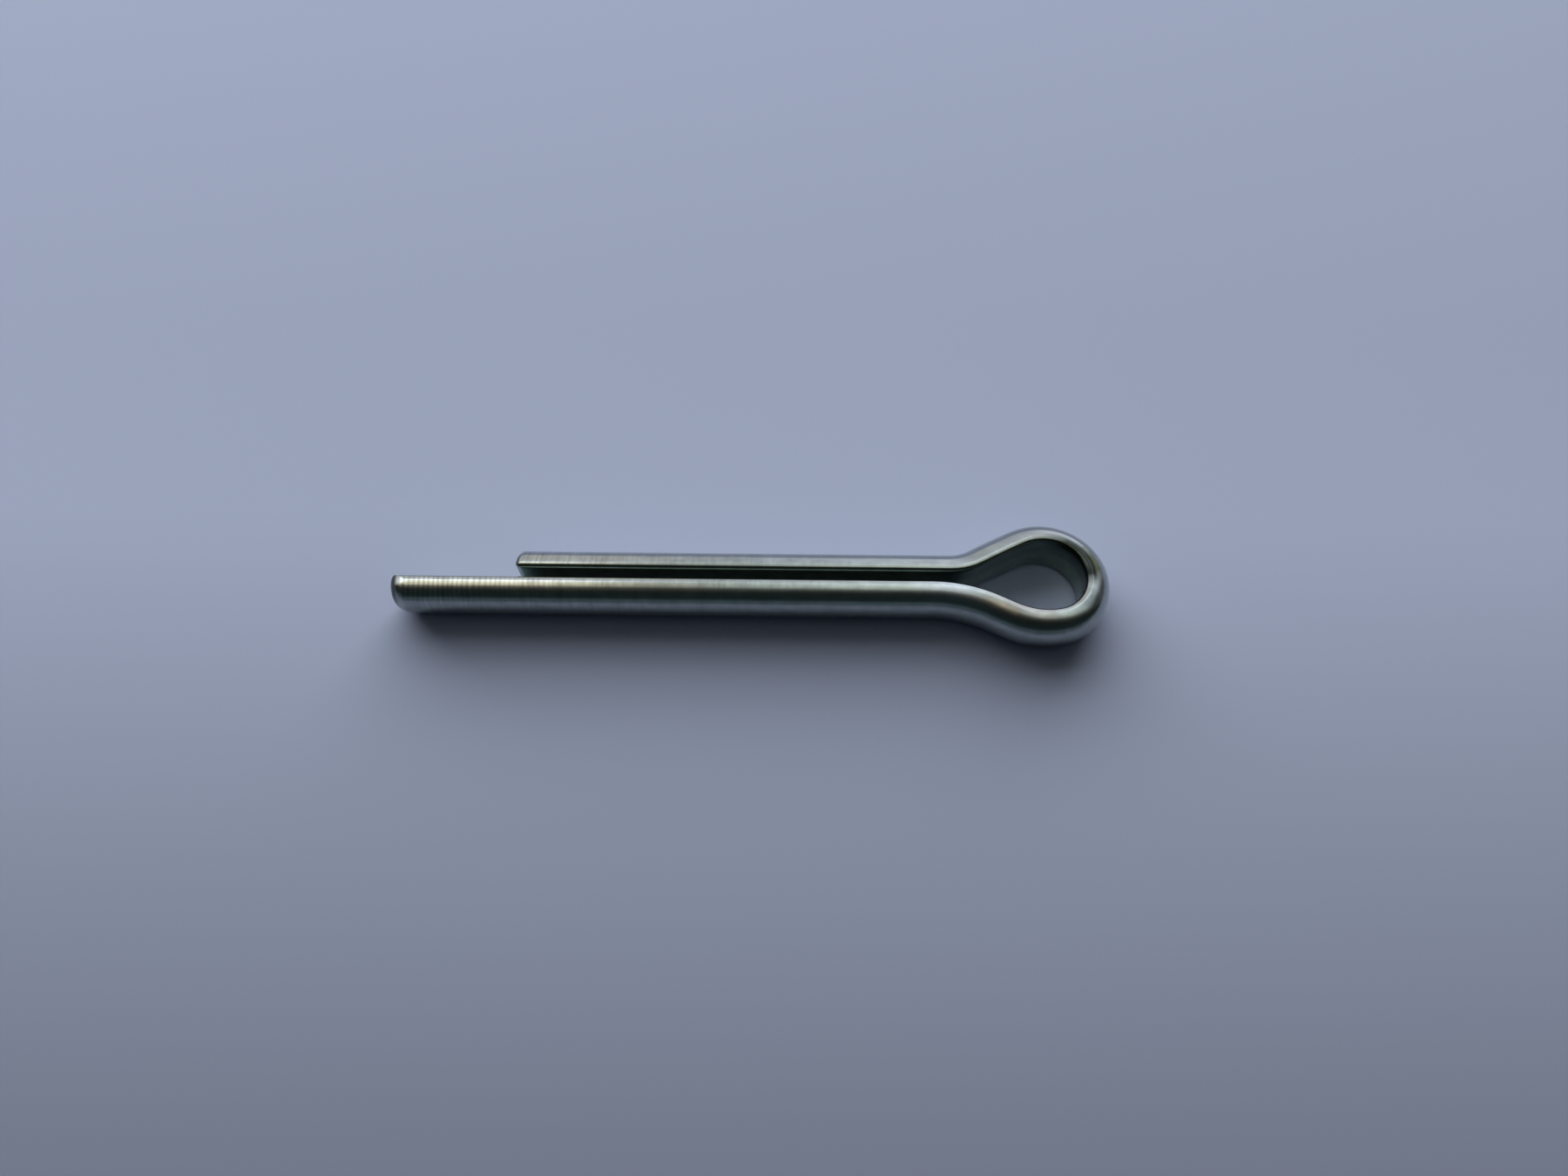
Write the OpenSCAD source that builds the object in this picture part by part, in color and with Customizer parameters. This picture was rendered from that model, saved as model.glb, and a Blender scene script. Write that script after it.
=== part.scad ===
// Split cotter pin, bent from one length of half-round steel wire.
// Millimetres, +Z up. The pin lies flat on the plane Z = 0 with its eye toward +X, its leg tips
// toward -X and its short leg on the +Y side. The origin is under the middle of its bounding box.
// Bend radii are measured at the wire's flat face, which faces inward all the way round.

/* [Wire] */
// Radius of the wire's round back, which is also its thickness
wire_r = 1.42; // [1.2:0.01:1.7]
// Rounding where the flat face turns into the round back
corner_r = 0.28; // [0.1:0.01:0.4]

/* [Eye] */
// Radius of the bend at the crown of the eye
crown_r = 1.84; // [1.6:0.02:2.1]
// Shift of the crown from the middle of the gap toward the short leg
crown_shift = 0.1; // [0:0.01:0.2]
// Turn of the crown bend before the short leg's shoulder takes over, in degrees
short_crown_turn = 43; // [33:1:53]
// Turn of the crown bend before the long leg's shoulder takes over, in degrees
long_crown_turn = 79; // [70:1:85]
// Radius of the shoulder bend on the short leg's side
short_shoulder_r = 2.15; // [2.1:0.05:2.5]
// Radius of the shoulder bend on the long leg's side
long_shoulder_r = 3.3; // [3:0.05:3.6]

/* [Neck] */
// Slope of the flank where it leaves the shoulder on the short leg's side, in degrees
short_top_slope = 26; // [23:0.5:28]
// Slope of the flank where it meets the neck on the short leg's side, in degrees
short_foot_slope = 29; // [28.5:0.5:34]
// Slope of the flank where it leaves the shoulder on the long leg's side, in degrees
long_top_slope = 24; // [21:0.5:25]
// Slope of the flank where it meets the neck on the long leg's side, in degrees
long_foot_slope = 27; // [26:0.5:28.5]
// Radius of the neck bend on the short leg's side
short_neck_r = 3.4; // [2:0.1:4.5]
// Radius of the neck bend on the long leg's side
long_neck_r = 8; // [7:0.1:9]

/* [Legs] */
// Gap between the flat faces of the two legs
leg_gap = 0.48; // [0.2:0.02:0.8]
// Overall length, from the crown of the eye to the tip of the long leg
pin_length = 37; // [28:0.2:48]
// How far the long leg reaches past the short one
leg_step = 6.4; // [3:0.1:9]
// Rounding of the round back into the long leg's end
long_tip_r = 1; // [0.3:0.01:1.15]
// Rounding of the round back into the short leg's end
short_tip_r = 0.42; // [0.3:0.01:1.15]
// Rounding of the flat face into each leg's end
flat_tip_r = 0.42; // [0.1:0.01:0.6]

/* [Hidden] */
$fn = 96;
steel = [0.74, 0.75, 0.77];
// How far a cutting shape reaches past what it cuts
past = 1;
// Finest step of the section's own coordinates
fine = 0.0001;
// Corner and back overlap by at least this much, so that their arcs cross in one clean edge
arc_overlap = 0.00003;

// Height of a corner's centre above the middle of the flat face
corner_z = ceil((sqrt(pow(wire_r - corner_r, 2) - pow(corner_r, 2)) + arc_overlap) / fine) * fine;
// Direction from the middle of the flat face in which corner and back meet
corner_dir = atan2(corner_z, corner_r);
// Half the wire's height as the pin lies
half_height = corner_z + corner_r;
// The crown's outermost point lies this far from the centre of its bend
crown_reach = crown_r + wire_r;
long_tip_x = crown_reach - pin_length;
short_tip_x = long_tip_x + leg_step;

// Unit vector in the XY plane
function along(angle) = [cos(angle), sin(angle)];
// Centre of a shoulder bend, which meets the crown bend on their common normal
function shoulder_centre(shift, crown_turn, shoulder_r) =
    [0, shift] + (crown_r - shoulder_r) * along(crown_turn);
// How far the eye reaches sideways from the middle of the gap
function eye_reach(shift, crown_turn, shoulder_r) =
    shoulder_centre(shift, crown_turn, shoulder_r)[1] + shoulder_r + wire_r;

short_reach = eye_reach(crown_shift, short_crown_turn, short_shoulder_r);
long_reach = eye_reach(-crown_shift, long_crown_turn, long_shoulder_r);

// Moves by v: first to the thousandth, then by what is left, so that bends meet to the last digit
module place(v) {
    coarse = [for (length = v) round(length * 1000) / 1000];
    translate(coarse)
        translate(v - coarse)
            children();
}

// Sector of a disc, from direction a0 to direction a1
module sector(r, a0, a1) {
    reach = 2 * r;
    intersection() {
        circle(r = r);
        polygon([[0, 0], reach * along(a0), reach * along((a0 + a1) / 2), reach * along(a1)]);
    }
}

// The wire's section: the flat face lies along the Y axis and the back bulges toward +X
module wire_section() {
    sector(wire_r, -corner_dir, corner_dir);
    for (side = [0, 1]) {
        mirror([0, side])
            translate([corner_r, corner_z])
                circle(r = corner_r);
    }
    polygon([[0, -corner_z], [corner_r, -corner_z], [0, 0], [corner_r, corner_z], [0, corner_z]]);
}

// Bend about a centre, from direction a0 to direction a1, with the wire's back outward
module bend(centre, r, a0, a1) {
    place(centre)
        rotate_extrude(angle = a1 - a0, start = a0)
            place([r, 0])
                wire_section();
}

// The same with the wire's back toward the centre
module back_bend(centre, r, a0, a1) {
    place(centre)
        rotate_extrude(angle = a1 - a0, start = a0)
            place([r, 0])
                mirror([1, 0])
                    wire_section();
}

// Sheared and tumbled end of the wire, from Z = 0 up to its tip at Z = wire_r
module wire_end(tip_r) {
    difference() {
        intersection() {
            linear_extrude(height = wire_r)
                wire_section();
            rotate_extrude() {
                square([wire_r + past, wire_r - tip_r]);
                square([wire_r - tip_r, wire_r]);
                translate([wire_r - tip_r, wire_r - tip_r])
                    sector(tip_r, 0, 90);
            }
        }
        // What the rounding between the flat face and the end takes away
        translate([0, 0, wire_r - flat_tip_r])
            difference() {
                translate([-past, -wire_r - past, 0])
                    cube([past + flat_tip_r, 2 * (wire_r + past), past + flat_tip_r]);
                translate([flat_tip_r, 0, 0])
                    rotate([90, 0, 0])
                        cylinder(r = flat_tip_r, h = 2 * (wire_r + 2 * past), center = true);
            }
    }
}

// Straight leg that runs from its root toward -X, with its back toward +Y
module leg(root, length, tip_r) {
    shank = length - wire_r;
    place(root)
        mirror([1, 0, 0])
            rotate([90, 0, 90]) {
                linear_extrude(height = shank)
                    wire_section();
                translate([0, 0, shank])
                    wire_end(tip_r);
            }
}

// One side of the pin, from the end of the crown bend to the leg's tip, with its back toward +Y
module side(shift, crown_turn, shoulder_r, top_slope, foot_slope, neck_r, tip_r, tip_x) {
    shoulder = shoulder_centre(shift, crown_turn, shoulder_r);
    // The flank is a very open bend, and its radius brings the flat face down to the leg's
    flank_drop = shoulder[1] + shoulder_r * cos(top_slope) - leg_gap / 2 - neck_r * (1 - cos(foot_slope));
    flank_r = flank_drop / (cos(top_slope) - cos(foot_slope));
    flank = shoulder + (shoulder_r - flank_r) * along(90 + top_slope);
    neck = flank + (flank_r + neck_r) * along(90 + foot_slope);

    bend(shoulder, shoulder_r, crown_turn, 90 + top_slope);
    bend(flank, flank_r, 90 + top_slope, 90 + foot_slope);
    back_bend(neck, neck_r, -90, foot_slope - 90);
    leg([neck[0], leg_gap / 2], neck[0] - tip_x, tip_r);
}

module cotter_pin() {
    color(steel)
        translate([pin_length / 2 - crown_reach, (long_reach - short_reach) / 2, half_height]) {
            bend([0, crown_shift], crown_r, -long_crown_turn, short_crown_turn);
            side(crown_shift, short_crown_turn, short_shoulder_r, short_top_slope, short_foot_slope,
                short_neck_r, short_tip_r, short_tip_x);
            mirror([0, 1, 0])
                side(-crown_shift, long_crown_turn, long_shoulder_r, long_top_slope, long_foot_slope,
                    long_neck_r, long_tip_r, long_tip_x);
        }
}

cotter_pin();
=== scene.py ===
import math
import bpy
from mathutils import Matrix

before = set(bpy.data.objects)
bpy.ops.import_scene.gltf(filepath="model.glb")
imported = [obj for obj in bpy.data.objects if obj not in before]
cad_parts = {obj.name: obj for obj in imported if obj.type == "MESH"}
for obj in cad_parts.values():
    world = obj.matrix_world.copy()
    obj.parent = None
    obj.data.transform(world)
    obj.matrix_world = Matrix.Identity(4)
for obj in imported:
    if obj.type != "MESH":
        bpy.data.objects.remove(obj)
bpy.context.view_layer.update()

from types import SimpleNamespace

import bpy
from mathutils import Euler, Vector

# Lengths are in metres, except where a comment says millimetres
MM = 0.001

# Camera: a wide lens held close over the pin
CAMERA_DISTANCE = 60.19 * MM
CAMERA_TILT = math.radians(26.5)
CAMERA_TURN = math.radians(0.673)
CAMERA_AIM = Vector((1.678, 0.397, 0)) * MM
CAMERA_LENS = 26.0
CAMERA_SENSOR = 36.0
CAMERA_CLIP = (1 * MM, 10.0)

# Floor: pale bluish paper whose colour carries painted shade: lighter behind the pin than
# in front of it, and far off lighter in front and darker behind, which evens out the
# lamps' light there. The first number is a distance from the origin away from the viewer,
# in millimetres, and the second the paper's painted shade there.
FLOOR_REACH = 300 * MM
PAPER_TINT = (0.88, 1.0, 1.34)
FLOOR_PAINTED_SHADES = [(-300, 0.72), (-120, 0.50), (-40, 0.35), (-26, 0.44), (-12, 0.575),
                (4, 0.715), (18, 0.668), (40, 0.655), (120, 0.60), (300, 0.30)]

# Lamps behind the pin, from low and strong to high and weak: the band of angles from
# overhead that each fills, in degrees, and its radiance
LAMP_DISTANCE = 400 * MM
LAMP_WIDTH = 800 * MM
LAMP_TURN = math.radians(11)
LAMPS = [("lamp_low", 62, 79, 4.4), ("lamp_middle", 45, 62, 2.3), ("lamp_high", 25, 45, 1.0)]
# A weak one straight overhead fills the shadow
FILL_HEIGHT = 500 * MM
FILL_SIZE = 500 * MM
FILL_RADIANCE = 0.15


# --- camera ---

def camera_turn():
    return Euler((CAMERA_TILT, 0, CAMERA_TURN))


def make_camera():
    data = bpy.data.cameras.new("camera")
    data.lens = CAMERA_LENS
    data.sensor_width = CAMERA_SENSOR
    data.clip_start, data.clip_end = CAMERA_CLIP
    camera = bpy.data.objects.new("camera", data)
    camera.rotation_euler = camera_turn()
    camera.location = CAMERA_AIM + camera_turn().to_matrix() @ Vector((0, 0, CAMERA_DISTANCE))
    bpy.context.scene.collection.objects.link(camera)
    bpy.context.scene.camera = camera


# --- node helpers ---

def put(tree, socket, value):
    """Set a socket to a number or colour, or link it to another socket."""
    if isinstance(value, bpy.types.NodeSocket):
        tree.links.new(value, socket)
    else:
        socket.default_value = value


def calc(tree, operation, a, b=0.0):
    node = tree.nodes.new("ShaderNodeMath")
    node.operation = operation
    put(tree, node.inputs[0], a)
    put(tree, node.inputs[1], b)
    return node.outputs[0]


def degrees(tree, operation, a, b=0.0):
    """An angle from an arc function, in degrees."""
    return calc(tree, "DEGREES", calc(tree, operation, a, b))


def times(tree, first, *others):
    """The product of numbers."""
    for other in others:
        first = calc(tree, "MULTIPLY", first, other)
    return first


def opposite(tree, mask):
    return calc(tree, "SUBTRACT", 1.0, mask)


def length(tree, a, b):
    """Length of a step of a along one axis and b along another."""
    return calc(tree, "SQRT", calc(tree, "ADD", times(tree, a, a), times(tree, b, b)))


def split(tree, vector):
    """The X, Y and Z parts of a vector."""
    node = tree.nodes.new("ShaderNodeSeparateXYZ")
    tree.links.new(vector, node.inputs[0])
    return node.outputs


def spread(tree, value, low, high, smooth=False):
    """Map low..high to 0..1, held at both ends."""
    node = tree.nodes.new("ShaderNodeMapRange")
    node.interpolation_type = "SMOOTHSTEP" if smooth else "LINEAR"
    put(tree, node.inputs["Value"], value)
    node.inputs["From Min"].default_value = low
    node.inputs["From Max"].default_value = high
    return node.outputs["Result"]


def hump(tree, value, start, full, fade, end):
    """Mask that rises from start to full and falls from fade to end."""
    return times(tree, spread(tree, value, start, full), spread(tree, value, end, fade))


def ramp(tree, value, stops):
    """Colours at given values, blended in between."""
    low, high = stops[0][0], stops[-1][0]
    node = tree.nodes.new("ShaderNodeValToRGB")
    put(tree, node.inputs["Fac"], spread(tree, value, low, high))
    elements = node.color_ramp.elements
    for _ in stops[2:]:
        elements.new(1.0)
    for element, (place, colour) in zip(elements, stops):
        element.position = (place - low) / (high - low)
        element.color = (*colour, 1)
    return node.outputs["Color"]


def mix(tree, mode, factor, a, b):
    node = tree.nodes.new("ShaderNodeMix")
    node.data_type = "RGBA"
    node.blend_type = mode
    put(tree, node.inputs["Factor"], factor)
    put(tree, node.inputs["A"], a)
    put(tree, node.inputs["B"], b)
    return node.outputs["Result"]


def blend(tree, factor, a, b):
    """Colour a where the factor is 0 and colour b where it is 1."""
    return mix(tree, "MIX", factor, a, b)


def tint(tree, colour, mask, shade):
    """Multiply a colour by a shade as far as the mask says."""
    return mix(tree, "MULTIPLY", mask, colour, shade)


def solid(colour):
    """A colour with its alpha."""
    return (*colour, 1)


def greys(stops):
    return [(place, (tone, tone, tone)) for place, tone in stops]


# --- surroundings ---

# What the wire mirrors, by the angle from overhead toward the viewer (tilt) and by the
# angle toward the eye's end (side), both in degrees. Toward the viewer it is dark, with a
# dim band low down.
VIEWER_TONES = [(40, (0.012, 0.017, 0.016)), (71, (0.012, 0.020, 0.022)),
                (81, (0.070, 0.098, 0.115)), (92, (0.070, 0.100, 0.120))]
TILT_TONES = [(-92, (0.62, 0.64, 0.74)), (-45, (0.82, 0.84, 0.88)), (8, (0.92, 1.0, 1.0)),
              (13, (0.88, 0.92, 0.88)), (21, (0.38, 0.38, 0.34)), (28, (0.06, 0.065, 0.055)),
              *VIEWER_TONES]
# Toward the leg tips the light is warmer, and it fades to dark a little closer to overhead
WARM_TONES = [(-92, (0.68, 0.64, 0.62)), (-45, (0.92, 0.88, 0.88)), (-20, (1.08, 1.04, 1.12)),
              (4, (1.04, 1.05, 1.08)), (11, (0.95, 0.88, 0.72)), (18, (0.46, 0.37, 0.25)),
              (25, (0.07, 0.06, 0.05)), *VIEWER_TONES]
WARM_SIDE = (-3, -8)
# By side: behind the pin, and overhead; in front it is even
BACK_TONES = greys([(-60, 0.40), (-30, 0.45), (-12, 0.45), (-4, 0.39), (15, 0.72),
                    (50, 0.62), (58, 0.32), (68, 0.07)])
OVER_TONES = greys([(-80, 0.25), (-40, 1.0), (-13, 1.22), (-8, 0.42), (-4, 0.37),
                    (7, 0.73), (32, 0.43), (41, 0.37), (52, 0.20), (64, 0.04)])
FRONT_TONE = (0.5, 0.5, 0.5)
OVERHEAD_TILT = (-27, -9)
FRONT_TILT = (18, 40)
# A dark olive corner far to the back and right: the turns from the back where it starts,
# is full, fades and ends, and the heights above the floor where it starts and is full
CORNER_TURN = (32, 46, 57, 66)
CORNER_HEIGHT = (50, 42)
CORNER_TONE = (0.24, 0.235, 0.15)
WORLD_STRENGTH = 2.75
# The plain wall that shows above the floor in views from the side
BACKDROP = (0.10, 0.114, 0.153)


def mirrored_light(tree, x, y, z):
    """The light that the wire mirrors from the direction x, y, z."""
    to_viewer = calc(tree, "MULTIPLY", y, -1.0)
    tilt = degrees(tree, "ARCTAN2", to_viewer, z)
    side = degrees(tree, "ARCSINE", x)
    overhead = spread(tree, tilt, *OVERHEAD_TILT, smooth=True)
    in_front = spread(tree, tilt, *FRONT_TILT, smooth=True)
    by_side = blend(tree, overhead, ramp(tree, side, BACK_TONES), ramp(tree, side, OVER_TONES))
    by_side = blend(tree, in_front, by_side, solid(FRONT_TONE))
    to_tips = spread(tree, side, *WARM_SIDE)
    by_tilt = blend(tree, to_tips, ramp(tree, tilt, TILT_TONES), ramp(tree, tilt, WARM_TONES))
    return tint(tree, by_tilt, 1.0, by_side)


def olive_corner(tree, x, y, z):
    turn = degrees(tree, "ARCTAN2", x, y)
    height = degrees(tree, "ARCSINE", z)
    return times(tree, hump(tree, turn, *CORNER_TURN), spread(tree, height, *CORNER_HEIGHT))


def make_world():
    world = bpy.data.worlds.new("world")
    bpy.context.scene.world = world
    world.use_nodes = True
    world.cycles_visibility.diffuse = False
    tree = world.node_tree
    x, y, z = split(tree, tree.nodes.new("ShaderNodeTexCoord").outputs["Generated"])
    light = tint(tree, mirrored_light(tree, x, y, z), olive_corner(tree, x, y, z), solid(CORNER_TONE))
    seen_directly = tree.nodes.new("ShaderNodeLightPath").outputs["Is Camera Ray"]
    background = tree.nodes["Background"]
    put(tree, background.inputs["Color"], blend(tree, seen_directly, light, solid(BACKDROP)))
    background.inputs["Strength"].default_value = WORLD_STRENGTH


def make_panel(name, centre, width, height, radiance):
    """A soft panel that shines on the origin and doesn't show in the wire."""
    data = bpy.data.lights.new(name, "AREA")
    data.shape = "RECTANGLE"
    data.size = width
    data.size_y = height
    data.energy = radiance * math.pi * width * height
    panel = bpy.data.objects.new(name, data)
    panel.location = centre
    panel.rotation_euler = centre.to_track_quat("Z", "Y").to_euler()
    panel.visible_glossy = False
    panel.visible_camera = False
    bpy.context.scene.collection.objects.link(panel)


def make_lamps():
    for name, low, high, radiance in LAMPS:
        middle = math.radians((low + high) / 2)
        height = LAMP_DISTANCE * math.radians(high - low)
        reach = LAMP_DISTANCE * math.sin(middle)
        rise = LAMP_DISTANCE * math.cos(middle)
        centre = Vector((-reach * math.sin(LAMP_TURN), reach * math.cos(LAMP_TURN), rise))
        make_panel(name, centre, LAMP_WIDTH, height, radiance)
    make_panel("lamp_fill", Vector((0, 0, FILL_HEIGHT)), FILL_SIZE, FILL_SIZE, FILL_RADIANCE)


def paper():
    material = bpy.data.materials.new("floor")
    material.use_nodes = True
    tree = material.node_tree
    shader = tree.nodes["Principled BSDF"]
    place = split(tree, tree.nodes.new("ShaderNodeTexCoord").outputs["Object"])
    away = calc(tree, "DIVIDE", place["Y"], MM)
    # The paper's colour times its painted shade, by the distance away from the viewer
    painted_shades = [(distance, [shade * part for part in PAPER_TINT]) for distance, shade in FLOOR_PAINTED_SHADES]
    put(tree, shader.inputs["Base Color"], ramp(tree, away, painted_shades))
    shader.inputs["Roughness"].default_value = 1.0
    shader.inputs["Specular IOR Level"].default_value = 0.0
    return material


def make_floor():
    mesh = bpy.data.meshes.new("floor")
    reach = FLOOR_REACH
    corners = [(-reach, -reach, 0), (reach, -reach, 0), (reach, reach, 0), (-reach, reach, 0)]
    mesh.from_pydata(corners, [], [(0, 1, 2, 3)])
    mesh.materials.append(paper())
    floor = bpy.data.objects.new("floor", mesh)
    bpy.context.scene.collection.objects.link(floor)


# --- the wire ---

# Places along, across and up are millimetres in the part's frame, and so is a reach from
# the crown's centre. A shade multiplies the steel's own colour.
STEEL_DULL = (0.240, 0.276, 0.270)
STEEL_BRIGHT = (0.316, 0.360, 0.350)
STEEL_ROUGHNESS = 0.17
STEEL_ANISOTROPY = 0.4
# Thin clear film over the steel
FILM_ROUGHNESS = 0.12
FILM_IOR = 1.6

# The middle of the gap between the legs, and the middle of the crown's bend
GAP_MIDDLE = -0.136
CROWN_CENTRE = (15.24, -0.036)
# The legs end here and the eye's flanks begin
LEG_END = (8.5, 10.5)
# Between these places across, the long leg's side gives way to the short leg's
SHORT_SIDE = (-0.2, 0.2)

# The flat face kept the rougher skin of the die. It and its edge are told from the back
# by the part of their direction that points at the pin's middle line.
FLAT_FACING = (0.70, 0.88)
# Painted shade on the flat faces, which face each other across the gap and inside the eye: darker and
# greener
FLAT_PAINTED_SHADE = (0.78, 0.90, 0.77)
FLAT_ROUGHNESS = 0.28
# In the eye, painted shade makes it darker toward its upper edge
EYE_TOP_HEIGHT = (1.2, 1.9)
EYE_TOP_PAINTED_SHADE = (0.42, 0.48, 0.50)
# Where the flat face turns into the back, on the short leg's side, painted shade makes the
# edge's reflection darker and warmer
EDGE_FACING = (-0.10, 0.26)
EDGE_PAINTED_SHADE = (0.56, 0.56, 0.50)
# The legs' sheared ends, told by the part of their direction that points toward +X
END_FACING = (-0.32, -0.72)
END_PLACE = (-10.5, -11.0)
END_SHADE = (0.22, 0.19, 0.16)

# Patches of painted light and shade on the wire's top in the eye: the places along the pin
# where each starts, is full, fades and ends, and its shade. A painted highlight makes the
# long leg's neck brighter and bluer; painted shade makes its shoulder warmer and darker,
# the crown darker toward its outermost point, and the short leg's shoulder darker.
TOP_HEIGHT = (2.25, 2.6)
LONG_SIDE_PAINTED_LIGHT = [((8.0, 10.5, 10.5, 12.6), (1.38, 1.34, 1.52)),
                     ((11.0, 13.2, 15.0, 15.8), (0.88, 0.79, 0.79)),
                     ((16.4, 18.2, 19.0, 20.0), (0.68, 0.68, 0.76))]
SHORT_SIDE_PAINTED_SHADE = [((13.4, 14.4, 15.2, 16.2), (0.83, 0.79, 0.79))]

# Painted shade on the inner edge of the crown, on the short leg's side, which darkens its
# reflection there: how far it reaches from the crown's centre, and the directions from
# there, in degrees, where it starts, is full, fades and ends
CROWN_SHADE_REACH = (2.50, 2.20)
CROWN_SHADE_HEIGHT = (1.9, 2.5)
CROWN_SHADE_TURN = (-16, 2, 62, 105)
CROWN_PAINTED_SHADE = (0.135, 0.145, 0.14)

# How often marks repeat per millimetre: along the wire, across it and up
MOTTLE_RATE = (1.4, 2.5, 2.5)
LEG_LINE_RATE = (0.35, 22.0, 22.0)
EYE_LINE_RATE = (0.5, 0.5, 22.0)
SCRATCH_RATE = (5.0, 0.6, 0.6)
WANDER_RATE = (0.25, 0.25, 0.25)
# Values of the noise between which the steel goes from dull to bright
MOTTLE_BAND = (0.3, 0.7)
NOISE_DETAIL = 2.0
# Even bars that the die's chatter left across the legs, toward the tips and on top. The
# wander shifts them by that many radians.
BAR_PITCH = 0.265
BAR_WANDER = 20.0
BAR_SPAN = (-8.0, -15.0)
BAR_HEIGHT = (1.9, 2.4)
BAR_STRENGTH = 0.45
# Scratches across the legs, which fade out toward the eye
SCRATCH_SPAN = (10.0, -8.0)
SCRATCH_STRENGTH = 1.8
# Bars and scratches lie about this middle, and these are the shades at 0 and at 1
CROSS_MIDDLE = 0.5
CROSS_SHADES = ((0.78, 0.78, 0.78), (1.22, 1.22, 1.22))
CROSS_DEPTH = 0.0012 * MM
LINE_DEPTH = 0.0008 * MM


def marks(tree, place, rate):
    """Noise from 0 to 1 with its own rate along each axis."""
    scaled = tree.nodes.new("ShaderNodeVectorMath")
    scaled.operation = "MULTIPLY"
    tree.links.new(place, scaled.inputs[0])
    scaled.inputs[1].default_value = [one / MM for one in rate]
    noise = tree.nodes.new("ShaderNodeTexNoise")
    noise.inputs["Scale"].default_value = 1.0
    noise.inputs["Detail"].default_value = NOISE_DETAIL
    tree.links.new(scaled.outputs[0], noise.inputs["Vector"])
    return noise.outputs["Fac"]


def bump(tree, height, depth, under=None):
    """Turn a height from 0 to 1 into relief of the given depth in metres."""
    node = tree.nodes.new("ShaderNodeBump")
    node.inputs["Distance"].default_value = depth
    tree.links.new(height, node.inputs["Height"])
    if under:
        tree.links.new(under, node.inputs["Normal"])
    return node.outputs["Normal"]


def wire_point(tree):
    """Where a point of the wire lies and which way its surface faces."""
    place = tree.nodes.new("ShaderNodeTexCoord").outputs["Object"]
    along, across, height = [calc(tree, "DIVIDE", part, MM) for part in split(tree, place)]
    normal = split(tree, tree.nodes.new("ShaderNodeNewGeometry").outputs["Normal"])
    return SimpleNamespace(place=place, along=along, across=across, height=height, normal=normal)


def inward_part(tree, point):
    """Part of the surface's direction that points at the pin's middle line, from -1 to 1."""
    past_crown = calc(tree, "MAXIMUM", calc(tree, "SUBTRACT", point.along, CROWN_CENTRE[0]), 0.0)
    off_middle = calc(tree, "SUBTRACT", point.across, GAP_MIDDLE)
    outward = calc(tree, "ADD", times(tree, point.normal["X"], past_crown),
                   times(tree, point.normal["Y"], off_middle))
    outward = calc(tree, "DIVIDE", outward, length(tree, past_crown, off_middle))
    return times(tree, outward, -1.0)


# Where shade is painted on the crown's inner edge
def crown_painted_shade(tree, point):
    east = calc(tree, "SUBTRACT", point.along, CROWN_CENTRE[0])
    north = calc(tree, "SUBTRACT", point.across, CROWN_CENTRE[1])
    turn = degrees(tree, "ARCTAN2", north, east)
    return times(tree, hump(tree, turn, *CROWN_SHADE_TURN), spread(tree, point.height, *CROWN_SHADE_HEIGHT),
                 spread(tree, length(tree, east, north), *CROWN_SHADE_REACH, smooth=True))


def wire_areas(tree, point):
    """Masks from 0 to 1 of the wire's areas: differently finished ones, and ones with painted light
    or shade.
    """
    inward = inward_part(tree, point)
    eye = spread(tree, point.along, *LEG_END, smooth=True)
    leg = opposite(tree, eye)
    short_side = spread(tree, point.across, *SHORT_SIDE)
    flat = spread(tree, inward, *FLAT_FACING, smooth=True)
    back = opposite(tree, flat)
    eye_top = times(tree, flat, spread(tree, point.height, *EYE_TOP_HEIGHT, smooth=True), eye)
    edge = times(tree, back, spread(tree, inward, *EDGE_FACING, smooth=True), short_side)
    end = times(tree, spread(tree, point.normal["X"], *END_FACING, smooth=True),
                spread(tree, point.along, *END_PLACE))
    top = times(tree, back, spread(tree, point.height, *TOP_HEIGHT, smooth=True))
    return SimpleNamespace(eye=eye, leg=leg, flat=flat, eye_top=eye_top, edge=edge, end=end,
                           leg_back=times(tree, leg, back), painted_crown_shade=crown_painted_shade(tree, point),
                           short_top=times(tree, top, short_side),
                           long_top=times(tree, top, opposite(tree, short_side)))


def cross_marks(tree, point):
    """Bars and scratches across the wire, as a number about CROSS_MIDDLE."""
    wander = times(tree, marks(tree, point.place, WANDER_RATE), BAR_WANDER)
    phase = calc(tree, "ADD", times(tree, point.along, math.tau / BAR_PITCH), wander)
    strength = times(tree, spread(tree, point.along, *BAR_SPAN),
                     spread(tree, point.height, *BAR_HEIGHT), BAR_STRENGTH)
    bars = times(tree, calc(tree, "SINE", phase), strength)
    scratches = calc(tree, "SUBTRACT", marks(tree, point.place, SCRATCH_RATE), CROSS_MIDDLE)
    strength = times(tree, spread(tree, point.along, *SCRATCH_SPAN), SCRATCH_STRENGTH)
    scratches = times(tree, scratches, strength)
    return calc(tree, "ADD", calc(tree, "ADD", bars, scratches), CROSS_MIDDLE)


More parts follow.
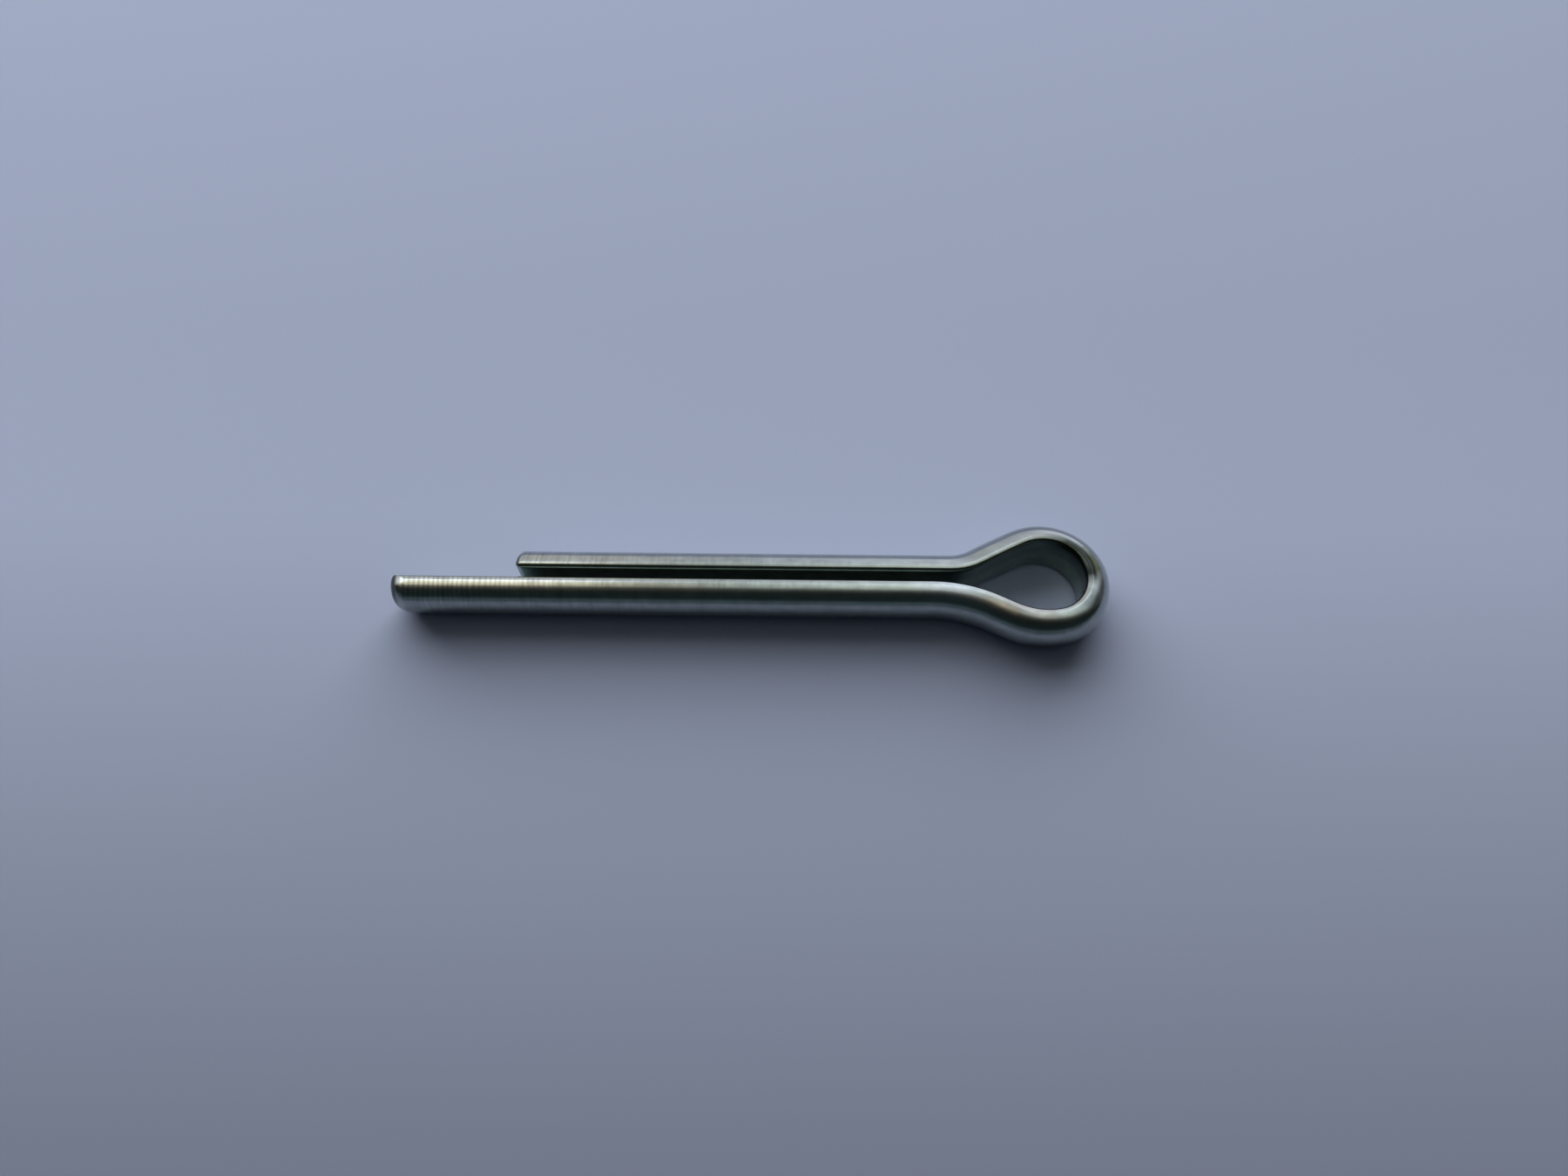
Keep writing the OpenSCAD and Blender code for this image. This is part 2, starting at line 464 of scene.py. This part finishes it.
def steel_colour(tree, point, areas, crossing):
    mottle = spread(tree, marks(tree, point.place, MOTTLE_RATE), *MOTTLE_BAND)
    colour = blend(tree, mottle, solid(STEEL_DULL), solid(STEEL_BRIGHT))
    # Painted highlight and painted shade on the wire's top in the eye
    for top, painted_patches in ((areas.long_top, LONG_SIDE_PAINTED_LIGHT), (areas.short_top, SHORT_SIDE_PAINTED_SHADE)):
        for span, shade in painted_patches:
            painted_patch = times(tree, top, hump(tree, point.along, *span))
            colour = tint(tree, colour, painted_patch, solid(shade))
    ripple = blend(tree, crossing, *[solid(shade) for shade in CROSS_SHADES])
    colour = tint(tree, colour, areas.leg_back, ripple)
    # Painted shade on the short leg's edge, the flat faces, the eye's upper inside and the crown's
    # inner edge; the sheared ends are darker
    for area, shade in ((areas.edge, EDGE_PAINTED_SHADE), (areas.flat, FLAT_PAINTED_SHADE), (areas.end, END_SHADE),
                        (areas.eye_top, EYE_TOP_PAINTED_SHADE), (areas.painted_crown_shade, CROWN_PAINTED_SHADE)):
        colour = tint(tree, colour, area, solid(shade))
    return colour


def steel_relief(tree, point, areas, crossing):
    """Fine drawing lines along the wire, with the marks across the legs on top."""
    leg_lines = times(tree, marks(tree, point.place, LEG_LINE_RATE), areas.leg)
    eye_lines = times(tree, marks(tree, point.place, EYE_LINE_RATE), areas.eye)
    lines = bump(tree, calc(tree, "ADD", leg_lines, eye_lines), LINE_DEPTH)
    return bump(tree, times(tree, crossing, areas.leg_back), CROSS_DEPTH, lines)


def steel_gloss(tree, shader, areas):
    """Steel drawn lengthwise, so rougher across, under a film that the ends lack, as does the painted
    shade on the crown's inner edge.
    """
    shader.inputs["Metallic"].default_value = 1
    rougher = times(tree, areas.flat, FLAT_ROUGHNESS - STEEL_ROUGHNESS)
    put(tree, shader.inputs["Roughness"], calc(tree, "ADD", rougher, STEEL_ROUGHNESS))
    shader.inputs["Anisotropic"].default_value = STEEL_ANISOTROPY
    upward = tree.nodes.new("ShaderNodeCombineXYZ")
    upward.inputs["Z"].default_value = 1
    put(tree, shader.inputs["Tangent"], upward.outputs[0])
    # The film is left off the ends and off the painted shade on the crown's inner edge, so the film's
    # reflection doesn't show there
    bare = calc(tree, "MAXIMUM", areas.painted_crown_shade, areas.end)
    put(tree, shader.inputs["Coat Weight"], opposite(tree, bare))
    shader.inputs["Coat Roughness"].default_value = FILM_ROUGHNESS
    shader.inputs["Coat IOR"].default_value = FILM_IOR


def steel_wire():
    material = bpy.data.materials.new("steel_wire")
    material.use_nodes = True
    tree = material.node_tree
    shader = tree.nodes["Principled BSDF"]
    point = wire_point(tree)
    areas = wire_areas(tree, point)
    crossing = cross_marks(tree, point)
    put(tree, shader.inputs["Base Color"], steel_colour(tree, point, areas, crossing))
    steel_gloss(tree, shader, areas)
    relief = steel_relief(tree, point, areas, crossing)
    put(tree, shader.inputs["Normal"], relief)
    put(tree, shader.inputs["Coat Normal"], relief)
    return material


def dress_pin():
    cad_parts["cotter_pin"].material_slots[0].material = steel_wire()


bpy.context.scene.view_settings.view_transform = "Standard"
make_camera()
make_floor()
make_lamps()
make_world()
dress_pin()
